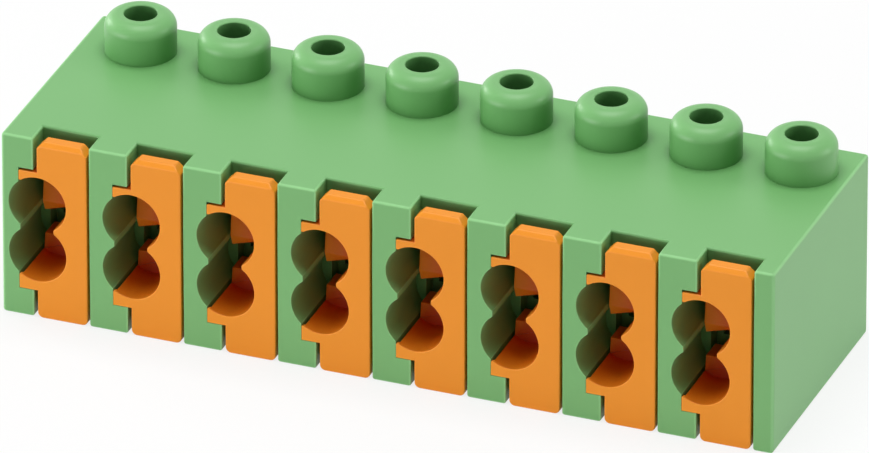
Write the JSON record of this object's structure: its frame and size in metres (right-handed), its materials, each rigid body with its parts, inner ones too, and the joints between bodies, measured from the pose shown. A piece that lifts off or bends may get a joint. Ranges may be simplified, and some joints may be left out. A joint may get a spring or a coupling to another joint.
{
  "type": "terminal block",
  "caption": "Pluggable terminal block: green moulded housing, orange push actuators in front over wire holes, pin sockets in raised round guides on top.",
  "frame": {"origin": "under the middle of the block, on the plane of its underside", "axes": "+X along the row of poles, +Y from the wire side to the rear, +Z towards the pin guides"},
  "size_m": [0.0286, 0.0094, 0.0085],
  "materials": {
    "green_plastic": "satin",
    "orange_plastic": "satin",
    "spring_steel": "satin",
    "tinned_copper": "satin"
  },
  "bodies": {
    "block": {"housing": "green_plastic", "contact_1": "tinned_copper", "contact_2": "tinned_copper", "contact_3": "tinned_copper", "contact_4": "tinned_copper", "contact_5": "tinned_copper", "contact_6": "tinned_copper", "contact_7": "tinned_copper", "contact_8": "tinned_copper", "cage_spring_1": "spring_steel", "cage_spring_2": "spring_steel", "cage_spring_3": "spring_steel", "cage_spring_4": "spring_steel", "cage_spring_5": "spring_steel", "cage_spring_6": "spring_steel", "cage_spring_7": "spring_steel", "cage_spring_8": "spring_steel"},
    "button_1": {"actuator_1": "orange_plastic"},
    "button_2": {"actuator_2": "orange_plastic"},
    "button_3": {"actuator_3": "orange_plastic"},
    "button_4": {"actuator_4": "orange_plastic"},
    "button_5": {"actuator_5": "orange_plastic"},
    "button_6": {"actuator_6": "orange_plastic"},
    "button_7": {"actuator_7": "orange_plastic"},
    "button_8": {"actuator_8": "orange_plastic"}
  },
  "joints": [
    {"name": "press_1", "type": "slide", "parent": "block", "child": "button_1", "axis": [0, 1, 0], "range_m": [0, 0.0004], "stiffness_N_per_m": 400, "deforming": ["cage_spring_1"]},
    {"name": "press_2", "type": "slide", "parent": "block", "child": "button_2", "axis": [0, 1, 0], "range_m": [0, 0.0004], "stiffness_N_per_m": 400, "deforming": ["cage_spring_2"]},
    {"name": "press_3", "type": "slide", "parent": "block", "child": "button_3", "axis": [0, 1, 0], "range_m": [0, 0.0004], "stiffness_N_per_m": 400, "deforming": ["cage_spring_3"]},
    {"name": "press_4", "type": "slide", "parent": "block", "child": "button_4", "axis": [0, 1, 0], "range_m": [0, 0.0004], "stiffness_N_per_m": 400, "deforming": ["cage_spring_4"]},
    {"name": "press_5", "type": "slide", "parent": "block", "child": "button_5", "axis": [0, 1, 0], "range_m": [0, 0.0004], "stiffness_N_per_m": 400, "deforming": ["cage_spring_5"]},
    {"name": "press_6", "type": "slide", "parent": "block", "child": "button_6", "axis": [0, 1, 0], "range_m": [0, 0.0004], "stiffness_N_per_m": 400, "deforming": ["cage_spring_6"]},
    {"name": "press_7", "type": "slide", "parent": "block", "child": "button_7", "axis": [0, 1, 0], "range_m": [0, 0.0004], "stiffness_N_per_m": 400, "deforming": ["cage_spring_7"]},
    {"name": "press_8", "type": "slide", "parent": "block", "child": "button_8", "axis": [0, 1, 0], "range_m": [0, 0.0004], "stiffness_N_per_m": 400, "deforming": ["cage_spring_8"]}
  ]
}
